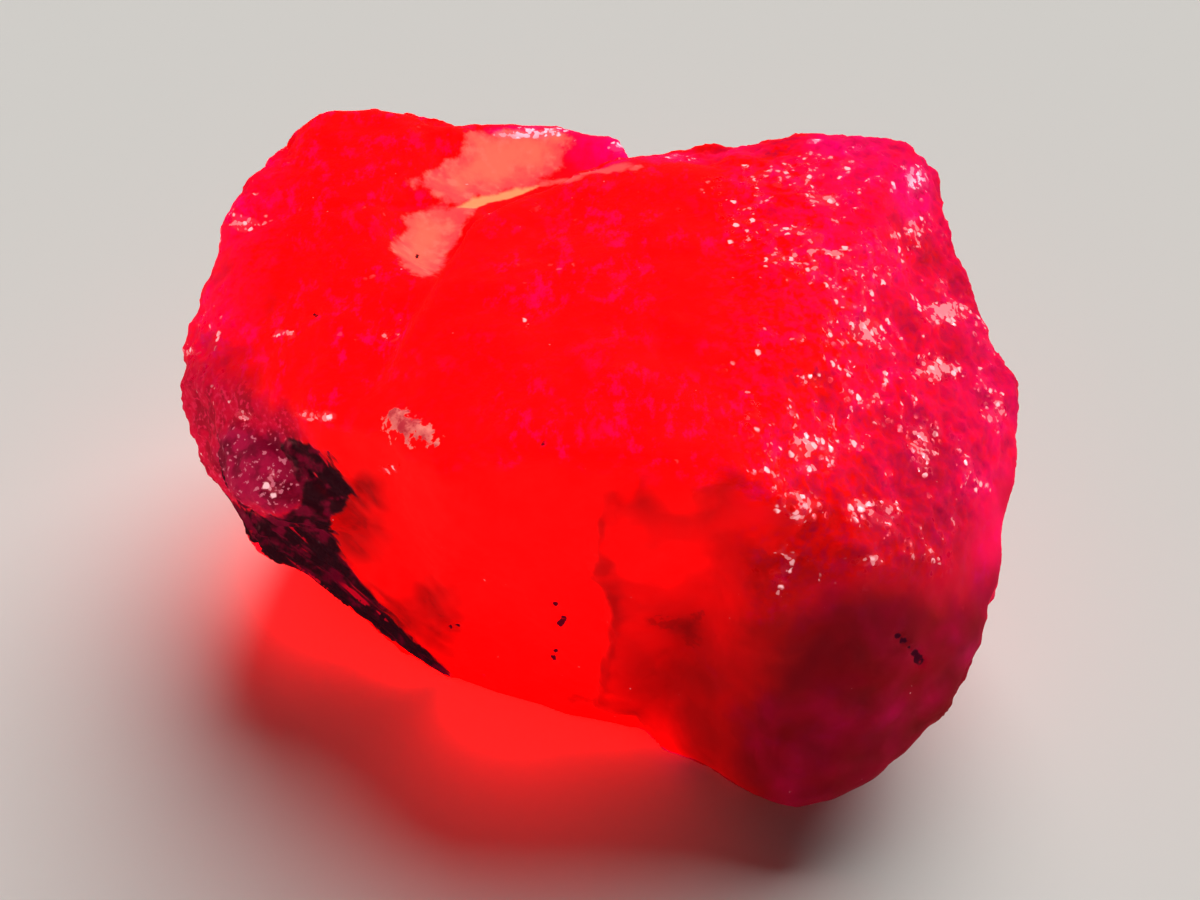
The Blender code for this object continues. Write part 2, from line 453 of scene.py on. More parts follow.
def marks(view):
    """How much there is of each small mark: painted glints and sheen, the knob's painted shade, and
    smoke.
    """
    bright_glints = smooth_step(-0.1, 0.5, in_marks(view.pixels, BRIGHT_GLINT_MARKS))
    lavender = smooth_step(-0.3, 0.4, in_marks(view.pixels, LAVENDER_SHEEN_MARKS))
    clear = np.ones(len(view.points))
    for middle, reach, taken in SMOKE:
        clear *= 1.0 - taken * fade_from(view.pixels, middle, reach) * view.in_reach
    return {
        "glint_patches": np.where(view.in_front, in_marks(view.pixels, PAINTED_GLINT_MARKS), -1.0),
        "bright_glints": np.where(view.in_front, bright_glints, 0.0),
        "lavender": np.where(view.in_reach, lavender, 0.0),
        "strokes": smooth_step(0.0, 0.4, in_marks(view.pixels, STROKES)),
        "knob_shade": smooth_step(*KNOB_SHADE, view.pixels[:, 0]),
        "smoke": 1.0 - clear,
    }


def rim_swell(view):
    """How far the ledges of the left rim stand out, and how far the outline is trimmed."""
    across, down = view.pixels.T
    ragged_down = down + 14.0 * fractal_at(view.points, 5.0, 3, seed=9.1)
    ledges = sum(height * smooth_step(*place_down, ragged_down) for place_down, height in RIM_LEDGES)
    at_rim = smooth_step(*RIM_END, down) * smooth_step(*RIM_ACROSS, across)
    swell = ledges * at_rim * smooth_step(-0.7, -0.2, view.facing)
    for middle, reach, height in TRIMS:
        swell += height * fade_from(view.pixels, middle, reach) * (view.up > -0.9)
    return swell


def coolness(view, masks):
    """How far the red has turned to magenta, a painted sheen: most at the right, the back and the rims.
    """
    x, y, z = view.points.T
    right = smooth_step(8.0, 46.0, x)
    back_right = smooth_step(8.0, 26.0, y) * smooth_step(14.0, 34.0, x)
    back = smooth_step(24.0, 42.0, y) * smooth_step(-8.0, 2.0, x)
    left = smooth_step(-34.0, -47.0, x)
    cool = 0.55 * right + 0.45 * back_right + 0.4 * back + 0.28 * left
    # the cloudy part of the front is red, and the flank beside it is cooler
    off_lobe = smooth_step(2.0, -4.0, masks["lobe"])
    front = smooth_step(2.0, 8.0, masks["cloudy"]) * off_lobe
    cool_flank = smooth_step(*COOL_REACH, (view.pixels - COOL_LINE) @ COOL_ACROSS)
    cool *= 1.0 - 0.9 * front * smooth_step(43.0, 37.0, z) * (1.0 - cool_flank)
    cool += 0.20 * smooth_step(43.0, 35.0, z) * off_lobe * view.in_reach * cool_flank
    return cool * (1.0 - 0.6 * fade_from(view.pixels, *WARM_MARK) * view.in_reach)


def grain_share(view, masks):
    """How grainy the surface is, which also places painted glints: down the flank, out of the camera's
    sight, and along the rims.
    """
    x = view.points[:, 0]
    above_lobe = smooth_step(0.0, -5.0, masks["lobe"]) * smooth_step(27.0, 33.0, view.height)
    flank = smooth_step(7.0, 20.0, x) * smooth_step(0.05, 0.3, view.up) * above_lobe
    hidden = smooth_step(0.0, -0.3, view.facing) * smooth_step(-0.5, -0.1, view.up)
    rim = smooth_step(-32.0, -44.0, x) * smooth_step(-0.1, 0.3, view.up)
    top = masks["top"] * above_lobe
    return np.maximum.reduce((flank, 0.8 * hidden, 0.45 * rim, 0.10 * top))


def painted_light_inside(points):
    # Painted glow, dimmed by painted shade where less light comes through.
    glow = np.full(len(points), DEEP_GLOW)
    for spot, radii, bright in GLOWS:
        glow += bright * fade_from(points, spot, radii)
    for spot, radii, taken in SHADES:
        glow *= 1.0 - taken * fade_from(points, spot, radii)
    return glow


def measure(points, normals):
    """Every mask, on the vertices. Distances are in millimetres."""
    view = View(points, normals)
    masks = {"facing": view.facing, "height": view.height, "swell": rim_swell(view)}
    masks.update(regions(view))
    masks.update(marks(view))
    masks["top"] = smooth_step(0.05, 0.45, view.up) * smooth_step(-1.0, 1.0, -masks["window"])
    masks["cool"] = coolness(view, masks)
    masks["glint"] = grain_share(view, masks)
    masks["glow"] = painted_light_inside(points)
    for name, size, octaves, seed in MOTTLES:
        masks[name] = mottle_at(points, size, octaves, seed)
    return masks


# ------------------------------------------------------------------------------------ the mesh

FINE_MESH = 0.38 * MM
MOST_TRIANGLES = 196000
WEAR_ROUNDS = 12
# Flat facets out of the camera's sight: how wide, and the share of them that are flat.
FACET = 2.3
FACET_SHARE = 0.6
# The height of the grain's ridges, and of the growth steps and their spacing.
RIDGE = 0.24
STEP_HEIGHT = 5.5
STEP_DEPTH = 1.3
# Where flakes came away on the sides that the camera doesn't see: how far, and how deep in the middle.
SCOOPS = (
    ((46, 14, 26), 13.0, 1.8), ((38, 30, 12), 11.0, 1.5), ((12, 40, 30), 14.0, 2.0),
    ((-14, 42, 14), 12.0, 1.6), ((-40, 26, 24), 12.0, 1.6), ((42, -4, 10), 9.0, 1.2),
    ((28, 36, 38), 9.0, 1.2),
)
# Thin slabs of the dark skin: the way they look, how thick each is, and how far its edge stands out.
LAMINA_NORMAL = unit((0.58, -0.40, 0.71))
LAMINA = 2.2
LAMINA_STEP = 0.5
# How far each of these stands out or goes in.
CLOUDY_STEP = 0.8
CRUMB_HEIGHT = 0.5
CRACK_DEPTH = 0.40
CRACK_REACH = 0.7
STREAK_DEPTH = 0.35
SPECK_DEPTH = 0.25
# The masks that only the shape reads.
SHAPE_MASKS = ("facing", "swell")


def fine_stone():
    """A closed mesh of even quads over the solid, with the solid's flat facets worn away."""
    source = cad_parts[NODE]
    stone = bpy.data.objects.new("ruby_stone", source.data.copy())
    bpy.context.scene.collection.objects.link(stone)
    stone.data.materials.clear()
    remesh = stone.modifiers.new("skin", "REMESH")
    remesh.mode = "VOXEL"
    remesh.voxel_size = FINE_MESH
    wear = stone.modifiers.new("wear", "SMOOTH")
    wear.iterations = WEAR_ROUNDS
    apply_modifiers(stone)
    return stone


def apply_modifiers(stone):
    graph = bpy.context.evaluated_depsgraph_get()
    made = bpy.data.meshes.new_from_object(
        stone.evaluated_get(graph), preserve_all_data_layers=True, depsgraph=graph
    )
    stone.modifiers.clear()
    stone.data = made


def read_vertices(mesh):
    points = np.empty(len(mesh.vertices) * 3)
    normals = np.empty(len(mesh.vertices) * 3)
    mesh.vertices.foreach_get("co", points)
    mesh.vertices.foreach_get("normal", normals)
    return points.reshape(-1, 3) / MM - WORKING_CENTRE, normals.reshape(-1, 3)


def facet_relief(points, normals, faces):
    """Cuts most of the grains flat along the crystal faces, and rounds the rest."""
    centres, gaps, own = cells_at(points, FACET, seed=7.7)
    away = centres - points
    away -= normals * np.einsum("ij,ij->i", away, normals)[:, None]
    slope = np.einsum("ij,ij->i", away, faces) / np.maximum(np.einsum("ij,ij->i", normals, faces), 0.6)
    joint = smooth_step(0.0, 0.5 * FACET, gaps)
    return joint * np.where(own < FACET_SHARE, np.clip(slope, -0.4, 0.4) + 0.06, 0.10)


def fracture_relief(points):
    """Growth steps along the crystal axis, and scoops where flakes came away, on the broken sides."""
    levels = points @ CRYSTAL_AXIS / STEP_HEIGHT + 0.5 * fractal_at(points, 16.0, 3, seed=21.0)
    ledge = smooth_step(0.0, 0.25, levels - np.floor(levels))
    patch = smooth_step(-0.1, 0.25, fractal_at(points, 18.0, 2, seed=22.0))
    relief = STEP_DEPTH * patch * (ledge - 1.0)
    for spot, radius, depth in SCOOPS:
        away = np.linalg.norm(points - np.array(spot), axis=1) / radius
        relief -= depth * np.maximum(1.0 - away**2, 0.0)
    return relief + fractal_at(points, 13.0, 4, seed=23.0)


def carve(points, normals, faces, masks):
    """How far each vertex moves along its normal, in millimetres."""
    window = smooth_step(-1.0, 1.0, masks["window"])
    skin = smooth_step(-1.0, 1.0, masks["skin"])
    hidden = smooth_step(0.1, -0.25, masks["facing"])
    grain = masks["glint"] * (1.0 - window) * (1.0 - 0.8 * skin)
    knob = smooth_step(-1.0, 1.5, masks["knob"])
    move = (0.40 - 0.15 * masks["top"]) * fractal_at(points, 9.0, 3, seed=3.1) * (1.0 - 0.6 * window)
    move += hidden * (fracture_relief(points) + 0.8 * facet_relief(points, normals, faces))
    # the grain is ridges that join up round small hollows
    move += grain * RIDGE * (1.0 - np.minimum(np.abs(masks["network"]) / 0.12, 1.0))
    move += (0.03 + 0.06 * grain) * (1.0 - 0.9 * window) * fractal_at(points, 1.8, 3, seed=1.3)
    move += masks["swell"] * (1.0 + 0.8 * fractal_at(points, 4.0, 3, seed=9.2))
    # the knob is craggy
    move += knob * (0.5 + 0.6 * fractal_at(points, 3.2, 4, seed=8.2))
    # the cloudy part of the front face stands out, with a step at its edge
    cloudy = masks["cloudy"] + 0.5 * fractal_at(points, 3.0, 3, seed=6.4)
    below_crest = smooth_step(45.5, 41.0, masks["height"])
    near_edge = smooth_step(9.0, 3.0, masks["cloudy_edge"])
    move += CLOUDY_STEP * below_crest * smooth_step(-0.5, 0.9, cloudy) * near_edge
    # chalky crumbs
    crumbs = smooth_step(0.0, 1.2, masks["chalk"] + 1.2 * fractal_at(points, 1.4, 3, seed=2.2))
    move += CRUMB_HEIGHT * crumbs
    # the crack is a thin groove, and the streak is a sharper one
    move -= CRACK_DEPTH * np.exp(-((masks["crack"] / CRACK_REACH) ** 2))
    move -= STREAK_DEPTH * smooth_step(-0.4, 0.4, masks["streak"])
    # specks are pits
    move -= SPECK_DEPTH * smooth_step(-0.3, 0.1, masks["speck"])
    # thin slabs of the dark skin, one over the other
    across = points @ LAMINA_NORMAL / LAMINA + 0.35 * fractal_at(points, 12.0, 2, seed=5.0)
    move += skin * LAMINA_STEP * (across - np.floor(across) - 0.5)
    return move


def mean_near(values, points, reach=6.0):
    """The values averaged over blocks of this size. What is below it is in a hollow."""
    blocks = np.floor(points / reach).astype(int)
    _, block = np.unique(blocks, axis=0, return_inverse=True)
    block = block.reshape(-1)
    return (np.bincount(block, values) / np.bincount(block))[block]


def add_attribute(mesh, name, values):
    if values.ndim == 1:
        layer = mesh.attributes.new(name, "FLOAT", "POINT")
        layer.data.foreach_set("value", values.astype(np.float32))
    else:
        layer = mesh.attributes.new(name, "FLOAT_VECTOR", "POINT")
        layer.data.foreach_set("vector", values.astype(np.float32).ravel())


def shape_stone(stone):
    mesh = stone.data
    points, normals = read_vertices(mesh)
    masks = measure(points, normals)
    faces = nearest_face(normals)
    on_base = smooth_step(0.3, 2.0, points[:, 2])
    move = carve(points, normals, faces, masks) * on_base
    points = points + normals * move[:, None]
    points[:, 2] = np.maximum(points[:, 2], 0.0)
    mesh.vertices.foreach_set("co", ((points + WORKING_CENTRE) * MM).ravel())
    mesh.update()
    # The material reads this to paint shade in the hollows.
    masks["relief"] = move - mean_near(move, points)
    for name, values in masks.items():
        if name not in SHAPE_MASKS:
            add_attribute(mesh, name, values)
    add_attribute(mesh, "crystal_face", faces)
    thin = stone.modifiers.new("thin", "DECIMATE")
    thin.ratio = min(1.0, MOST_TRIANGLES / (2 * len(mesh.polygons)))
    apply_modifiers(stone)
    stone.data.shade_smooth()


# ------------------------------------------------------------------------------------ the material

class Nodes:
    """Short hands for building one node tree."""

    def __init__(self, material):
        self.tree = material.node_tree
        self.coords = self.make("ShaderNodeTexCoord").outputs["Object"]

    def make(self, kind, **settings):
        node = self.tree.nodes.new(kind)
        for key, value in settings.items():
            setattr(node, key, value)
        return node

    def join(self, value, socket):
        if isinstance(value, bpy.types.NodeSocket):
            self.tree.links.new(value, socket)
        else:
            socket.default_value = value

    def math(self, operation, a, b=0.0, c=0.0):
        node = self.make("ShaderNodeMath", operation=operation)
        for value, socket in zip((a, b, c), node.inputs):
            self.join(value, socket)
        return node.outputs[0]

    def times(self, *values):
        product = values[0]
        for value in values[1:]:
            product = self.math("MULTIPLY", product, value)
        return product

    def plus(self, *values):
        total = values[0]
        for value in values[1:]:
            total = self.math("ADD", total, value)
        return total

    def vector(self, operation, a, b=(0.0, 0.0, 0.0)):
        node = self.make("ShaderNodeVectorMath", operation=operation)
        self.join(a, node.inputs[0])
        self.join(b, node.inputs["Scale"] if operation == "SCALE" else node.inputs[1])
        return node.outputs["Value"] if operation == "DOT_PRODUCT" else node.outputs["Vector"]

    def attribute(self, name, output="Fac"):
        return self.make("ShaderNodeAttribute", attribute_name=name).outputs[output]

    def noise(self, size, detail, roughness=0.5, coords=None, output=0):
        """Noise about 0, with lumps of about this size in millimetres."""
        node = self.make("ShaderNodeTexNoise")
        self.join(coords or self.coords, node.inputs["Vector"])
        node.inputs["Scale"].default_value = 1.0 / (size * MM)
        node.inputs["Detail"].default_value = detail
        node.inputs["Roughness"].default_value = roughness
        if output == 1:
            return self.vector("SUBTRACT", node.outputs[1], (0.5, 0.5, 0.5))
        return self.math("SUBTRACT", node.outputs[0], 0.5)

    def stretched(self, direction, share):
        """Object coordinates, drawn together along a direction, so that noise on them is streaky."""
        along = self.vector("DOT_PRODUCT", self.coords, tuple(direction))
        pull = self.vector("SCALE", tuple(direction), self.times(along, -share))
        return self.vector("ADD", self.coords, pull)

    def step(self, value, low, high):
        node = self.make("ShaderNodeMapRange", interpolation_type="SMOOTHSTEP")
        self.join(value, node.inputs["Value"])
        node.inputs["From Min"].default_value = low
        node.inputs["From Max"].default_value = high
        return node.outputs["Result"]

    def mix(self, share, first, second):
        node = self.make("ShaderNodeMix", data_type="RGBA")
        self.join(share, node.inputs["Factor"])
        for value, socket in ((first, node.inputs[6]), (second, node.inputs[7])):
            self.join(value if isinstance(value, bpy.types.NodeSocket) else (*value, 1.0), socket)
        return node.outputs[2]

    def dim(self, value, share, amount):
        """The value, scaled by this amount where the share is 1."""
        return self.times(value, self.plus(1.0, self.times(share, amount - 1.0)))

    def blend(self, share, first, second):
        """Two numbers, mixed by the share of the second."""
        return self.plus(self.times(first, self.math("SUBTRACT", 1.0, share)), self.times(second, share))

    def ragged(self, name, edge, amount, low, high):
        """A region's mask, with its edge roughened by a noise, to about this many millimetres."""
        return self.step(self.plus(self.attribute(name), self.times(edge, 2.5 * amount)), low, high)


# The way the dark skin's slabs run, the size of the round grains, and how far each leans its own way.
LAYING = unit((0.70, -0.22, -0.68))
GRAIN = 0.85
LEAN = 0.36
INDEX_OF_REFRACTION = 1.77
GLOSS_TINT = (1.0, 0.10, 0.13, 1.0)

# What each place reflects. The darker reds of the lobe, the crimson and the knob are painted shade, and
# the magenta is a painted sheen.
RED = (0.60, 0.0004, 0.002)
MAGENTA = (0.60, 0.0006, 0.045)
LOBE_RED = (0.28, 0.0004, 0.012)
WINDOW_RED = (0.60, 0.02, 0.015)
CRIMSON_RED = (0.22, 0.001, 0.012)
KNOB_RED = (0.24, 0.01, 0.04)
SKIN_DARK = (0.050, 0.014, 0.018)
CRUMB_LOW = (0.25, 0.04, 0.04)
CRUMB_HIGH = (0.45, 0.20, 0.15)
SPECK_DARK = (0.01, 0.004, 0.004)
# The pale under the painted glints: a painted highlight.
GLINT_PALE = (0.85, 0.22, 0.26)

# The painted light that comes out of each place: the glow of the light that comes through the stone, its
# painted shade, and painted glints and sheen.
WINDOW_RIM_LIGHT = (0.96, 0.055, 0.07)
WINDOW_LIGHT = (1.0, 0.165, 0.105)
WINDOW_GRIT_LIGHT = (1.0, 0.21, 0.15)
CREST_LIGHT = (0.95, 0.10, 0.09)
STREAK_LIGHT = (1.0, 0.38, 0.15)
CRACK_LIGHT = (0.55, 0.0, 0.02)
CRIMSON_LIGHT = (0.52, 0.0, 0.022)
CRIMSON_SPOT_LIGHT = (0.28, 0.0, 0.012)
CRIMSON_GRIT_LIGHT = (0.62, 0.01, 0.05)
KNOB_LIGHT = (0.30, 0.003, 0.034)
KNOB_SPOT_LIGHT = (0.09, 0.0, 0.010)
# Painted shade on the right of the knob.
KNOB_SHADE_LIGHT = (0.10, 0.001, 0.014)
KNOB_SHADE_SPOT_LIGHT = (0.02, 0.0, 0.004)
# Painted glints on the knob's grains.
SUGAR_GLINT_LIGHT = (0.60, 0.16, 0.22)
SKIN_LIGHT = (0.010, 0.001, 0.003)
# Painted glow that comes through the dark skin in patches.
SKIN_GLOW_LIGHT = (0.09, 0.0, 0.008)
SKIN_GLOW_BY_KNOB_LIGHT = (0.13, 0.001, 0.013)
SEAM_LIGHT = (0.50, 0.0, 0.01)
CRUMB_LOW_LIGHT = (0.46, 0.015, 0.03)
CRUMB_HIGH_LIGHT = (0.74, 0.12, 0.11)
SPECK_LIGHT = (0.02, 0.0, 0.006)
# Painted sheen: a pink haze, and a lavender one on the rims.
SHEEN_LIGHT = (0.95, 0.09, 0.13)
LAVENDER_SHEEN_LIGHT = (0.95, 0.14, 0.36)
# Painted glints, white and lavender.
GLINT_LIGHT = (1.0, 0.55, 0.57)
LAVENDER_GLINT_LIGHT = (0.98, 0.68, 0.86)


def grains(n):
    """Small round facets: how much of one is here, a number from 0 to 1 that is its own, and the way
    it looks, which is near to the way of the crystal's face."""
    wobble = n.vector("SCALE", n.noise(0.7, detail=1.0, output=1), 0.45 * MM)
    cells = n.make("ShaderNodeTexVoronoi", feature="F1")
    n.join(n.vector("ADD", n.coords, wobble), cells.inputs["Vector"])
    cells.inputs["Scale"].default_value = 1.0 / (GRAIN * MM)
    own = n.make("ShaderNodeSeparateColor")
    n.join(cells.outputs["Color"], own.inputs[0])
    lean = n.vector("SCALE", n.vector("SUBTRACT", cells.outputs["Color"], (0.5, 0.5, 0.5)), LEAN)
    own_way = n.vector("SCALE", n.make("ShaderNodeNewGeometry").outputs["Normal"], 0.8)
    looks = n.vector("ADD", n.vector("ADD", n.attribute("crystal_face", "Vector"), own_way), lean)
    return n.step(cells.outputs["Distance"], 0.52, 0.30), own.outputs[0], looks


def read_surface(n):
    """The noises and the masks that more than one part of the material reads."""
    m = SimpleNamespace()
    m.broad = n.attribute("broad")
    m.middle = n.attribute("middle")
    m.small = n.noise(1.5, detail=3.0)
    m.grit = n.noise(0.6, detail=2.0)
    m.wander = n.noise(2.6, detail=4.0, roughness=0.65)
    m.comb = n.noise(2.0, detail=4.0, roughness=0.65, coords=n.stretched(LAYING, 0.8))
    m.glint = n.attribute("glint")
    m.network = n.math("ABSOLUTE", n.attribute("network"))
    m.mottle = n.times(n.plus(m.small, n.times(m.grit, 0.8)), m.glint)
    m.lavender = n.attribute("lavender")
    m.window = n.ragged("window", m.wander, 1.3, -0.3, 0.5)
    m.skin = n.ragged("skin", m.comb, 1.0, -0.15, 0.3)
    m.knob = n.ragged("knob", m.wander, 1.2, -1.0, 1.4)
    m.lobe = n.ragged("lobe", m.middle, 1.8, -2.8, 1.6)
    return m


def cloudy_glow(n, m, glow):
    """The painted glow, dimmed by painted shade in the cloudy part of the front: along its edge, in
    billows and beside them.
    """
    from_crest = n.plus(n.attribute("height"), n.times(m.middle, 14.0), n.times(m.wander, 8.0))
    cloudy = n.times(n.ragged("cloudy", m.wander, 0.8, -0.4, 0.5), n.step(from_crest, 45.5, 37.5))
    edge = n.step(n.plus(n.attribute("cloudy_edge"), n.times(m.middle, 4.0)), 1.8, 0.3)
    glow = n.dim(glow, n.times(cloudy, edge), 0.60)
    glow = n.dim(glow, n.times(cloudy, n.step(n.attribute("cloudy"), 13.0, 5.0)), 0.62)
    return n.dim(glow, n.times(cloudy, n.step(n.attribute("billow"), 0.10, -0.12)), 0.75)


def smoky_glow(n, m, glow):
    """The painted glow, dimmed by the smoky clouds and the vein."""
    smoke = n.times(n.attribute("smoke"), n.plus(1.0, n.times(m.wander, 2.2), n.times(m.middle, 1.5)))
    smoky = n.times(n.math("MINIMUM", glow, 1.1), n.math("SUBTRACT", 1.0, smoke))
    glow = n.blend(n.step(smoke, 0.04, 0.20), glow, smoky)
    vein = n.step(n.plus(n.attribute("vein"), n.times(m.grit, 2.0), n.times(m.small, 1.5)), 0.7, 0.1)
    return n.dim(glow, vein, 0.5)


def glow_here(n, m):
    """How much painted red glow comes out of the stone, with painted shade over the lobe and in the
    hollows.
    """
    uneven = n.times(n.plus(1.0, n.times(m.broad, 0.9)), n.plus(1.0, n.times(m.middle, 0.5)))
    glow = cloudy_glow(n, m, n.times(n.attribute("glow"), uneven))
    # painted shade: the thick lobe lets less of the light through
    glow = smoky_glow(n, m, n.dim(glow, m.lobe, 0.45))
    glow = n.times(glow, n.plus(1.0, n.times(m.lobe, n.plus(m.middle, n.times(m.small, 0.5)), 1.3)))
    # painted shade in the hollows of the grain and of the carved relief
    hollow = n.times(n.step(m.network, 0.06, 0.16), m.glint)
    glow = n.dim(glow, n.plus(hollow, n.step(n.attribute("relief"), 0.1, -0.6)), 0.74)
    glow = n.times(glow, n.plus(1.0, n.times(m.mottle, 1.6)))
    fringe = n.step(n.plus(n.attribute("skin"), n.times(m.comb, 9.0)), -3.0, 0.0)
    fringe = n.times(fringe, n.attribute("strokes"))
    glow = n.blend(fringe, glow, n.times(n.math("MINIMUM", glow, 1.0), 0.40))
    return n.math("MAXIMUM", glow, 0.0)


def red_stone(n, m):
    """From red in the middle to magenta, a painted sheen, at the right and at the rims, with magenta
    flecks of painted sheen on top.
    """
    glow = glow_here(n, m)
    drawn_back = n.noise(2.0, detail=5.0, roughness=0.7, coords=n.stretched((0.0, 1.0, 0.0), 0.45))
    fleck = n.times(n.step(drawn_back, 0.0, 0.16), n.attribute("top"), n.step(m.broad, -0.14, 0.10))
    cool = n.attribute("cool")
    cool = n.plus(cool, n.times(m.broad, cool, 1.6), n.times(fleck, 0.42))
    cool = n.plus(cool, n.times(m.mottle, -1.2), n.times(m.lobe, n.plus(m.broad, m.middle), 1.2))
    cool = n.plus(cool, n.times(m.lavender, n.plus(0.5, n.times(m.small, 1.5))))
    cool = n.math("MINIMUM", n.math("MAXIMUM", cool, 0.0), 1.0)
    lit = n.make("ShaderNodeCombineColor")
    n.join(glow, lit.inputs["Red"])
    n.join(n.times(cool, n.math("MINIMUM", glow, 1.0), 0.13), lit.inputs["Blue"])
    return lit.outputs[0], n.mix(m.lobe, n.mix(cool, RED, MAGENTA), LOBE_RED)


def add_thin_places(n, m, lit, base):
    """The windows, the streak and the lines, painted with the light that comes straight through them."""
    inward = n.plus(n.attribute("window"), n.times(m.broad, 6.0), n.times(m.wander, 5.0))
    grit = n.step(n.plus(m.small, n.times(m.middle, 0.6)), -0.02, 0.22)
    pale = n.mix(n.step(inward, -0.5, 3.0), WINDOW_RIM_LIGHT, WINDOW_LIGHT)
    pale = n.mix(n.times(grit, 0.6), pale, WINDOW_GRIT_LIGHT)
    crest = n.step(n.plus(n.attribute("crest_line"), n.times(m.small, 0.8)), 0.45, 0.10)
    streak = n.ragged("streak", m.small, 0.2, -0.15, 0.25)
    crack = n.step(n.plus(n.attribute("crack"), n.times(m.small, 0.9)), 0.5, 0.1)
    lit = n.mix(n.times(m.window, 0.94), lit, pale)
    lit = n.mix(n.times(crest, 0.85), lit, CREST_LIGHT)
    lit = n.mix(n.times(streak, 0.9), lit, STREAK_LIGHT)
    lit = n.mix(n.times(crack, 0.5), lit, CRACK_LIGHT)
    return lit, n.mix(n.times(m.window, 0.9), base, WINDOW_RED)


def add_knob(n, m, lit, base):
    """The knob with painted glints on its grains and painted shade on its right, and the crimson round
    it, in painted shade too.
    """
    crimson = n.ragged("crimson", m.wander, 1.8, -1.6, 1.6)
    spots = n.step(n.plus(m.middle, n.times(m.small, 0.6)), 0.06, -0.14)
    crimson_lit = n.mix(spots, CRIMSON_LIGHT, CRIMSON_SPOT_LIGHT)
    crimson_lit = n.mix(n.step(m.grit, 0.02, 0.14), crimson_lit, CRIMSON_GRIT_LIGHT)
    lit = n.mix(n.times(crimson, 0.85), lit, crimson_lit)
    base = n.mix(n.times(crimson, 0.8), base, CRIMSON_RED)
    # painted glints on the knob's grains
    sugar_glint = n.step(n.plus(m.grit, n.times(n.step(n.attribute("glint_patches"), -0.4, 0.6), 0.11)), 0.11, 0.17)
    knob_lit = n.mix(spots, KNOB_LIGHT, KNOB_SPOT_LIGHT)
    knob_shade_lit = n.mix(spots, KNOB_SHADE_LIGHT, KNOB_SHADE_SPOT_LIGHT)
    knob_lit = n.mix(n.attribute("knob_shade"), knob_lit, knob_shade_lit)
    knob_lit = n.mix(n.times(sugar_glint, 0.8), knob_lit, SUGAR_GLINT_LIGHT)
    return n.mix(n.times(m.knob, 0.9), lit, knob_lit), n.mix(n.times(m.knob, 0.9), base, KNOB_RED)


def add_dark_skin(n, m, lit, base):
    """The dark skin, with painted glow along the seams of its slabs and in red patches, most of them by
    the knob.
    """
    line = n.step(n.noise(0.9, detail=2.0, coords=n.stretched(LAYING, 0.92)), 0.13, 0.17)
    seam = n.times(line, n.step(m.broad, -0.02, 0.10))
    by_knob = n.step(n.attribute("knob"), -6.0, -1.0)
    skin_glow_share = n.step(n.plus(m.middle, n.times(m.small, 0.8), n.times(by_knob, 0.10)), 0.02, 0.2)
    skin_glow = n.mix(skin_glow_share, SKIN_LIGHT, n.mix(by_knob, SKIN_GLOW_LIGHT, SKIN_GLOW_BY_KNOB_LIGHT))
    return n.mix(m.skin, lit, n.mix(seam, skin_glow, SEAM_LIGHT)), n.mix(m.skin, base, SKIN_DARK)


def add_crumbs_and_specks(n, m, lit, base):
    chalk = n.ragged("chalk", n.plus(m.small, n.times(m.grit, 0.6)), 2.0, 0.0, 0.3)
    crumb = n.step(m.wander, -0.12, 0.10)
    lit = n.mix(chalk, lit, n.mix(crumb, CRUMB_LOW_LIGHT, CRUMB_HIGH_LIGHT))
    base = n.mix(chalk, base, n.mix(crumb, CRUMB_LOW, CRUMB_HIGH))
    speck = n.ragged("speck", m.grit, 0.20, -0.06, 0.08)
    return n.mix(n.times(speck, 0.95), lit, SPECK_LIGHT), n.mix(speck, base, SPECK_DARK)


def glint_odds(n, m):
    """How likely the surface is to carry a painted glint: on the grain's ridges, in patches, and in the
    marks.
    """
    ridge = n.step(m.network, 0.10, 0.03)
    patch = n.step(n.plus(m.broad, n.times(m.middle, 0.7)), -0.03, 0.11)
    anywhere = n.times(m.glint, n.plus(0.01, n.times(ridge, patch, 0.55)))
    in_mark = n.step(n.plus(n.attribute("glint_patches"), m.middle), 0.0, 0.5)
    marked = n.times(in_mark, n.plus(0.35, n.times(ridge, 0.45)))
    return n.plus(n.math("MAXIMUM", anywhere, marked), n.times(n.attribute("bright_glints"), 0.38))


def add_painted_glints(n, m, dot, dot_number, lit, base):
    """Painted glints: fine white grains in a pink haze of painted sheen. The last value returned is how
    much of a facet is here.
    """
    odds = glint_odds(n, m)
    ragged = n.vector("SCALE", n.noise(0.8, detail=1.0, output=1), 0.3 * MM)
    blob = n.noise(0.75, detail=1.5, coords=n.vector("ADD", n.coords, ragged))
    spark = n.times(dot, n.step(n.math("SUBTRACT", n.times(odds, 0.5), dot_number), 0.0, 0.12))
    glint_spot = n.math("MAXIMUM", n.step(n.plus(blob, n.times(odds, 0.34)), 0.28, 0.34), spark)
    rim_bright = n.times(n.attribute("bright_glints"), n.plus(0.10, n.times(m.lavender, 0.40)))
    bright = n.plus(0.30, n.times(dot, n.step(dot_number, 0.5, 0.1), 0.70), rim_bright)
    # painted sheen: a pink haze over the grainy places
    haze = n.times(n.step(n.plus(odds, n.times(m.small, 0.8)), 0.25, 0.8), 0.18)
    lit = n.mix(haze, lit, n.mix(m.lavender, SHEEN_LIGHT, LAVENDER_SHEEN_LIGHT))
    white = n.mix(m.lavender, GLINT_LIGHT, LAVENDER_GLINT_LIGHT)
    lit = n.mix(n.times(glint_spot, n.math("MINIMUM", bright, 1.0)), lit, white)
    base = n.mix(n.times(glint_spot, 0.3), base, GLINT_PALE)
    return lit, base, n.times(n.math("MAXIMUM", dot, glint_spot), n.step(odds, 0.0, 0.25))


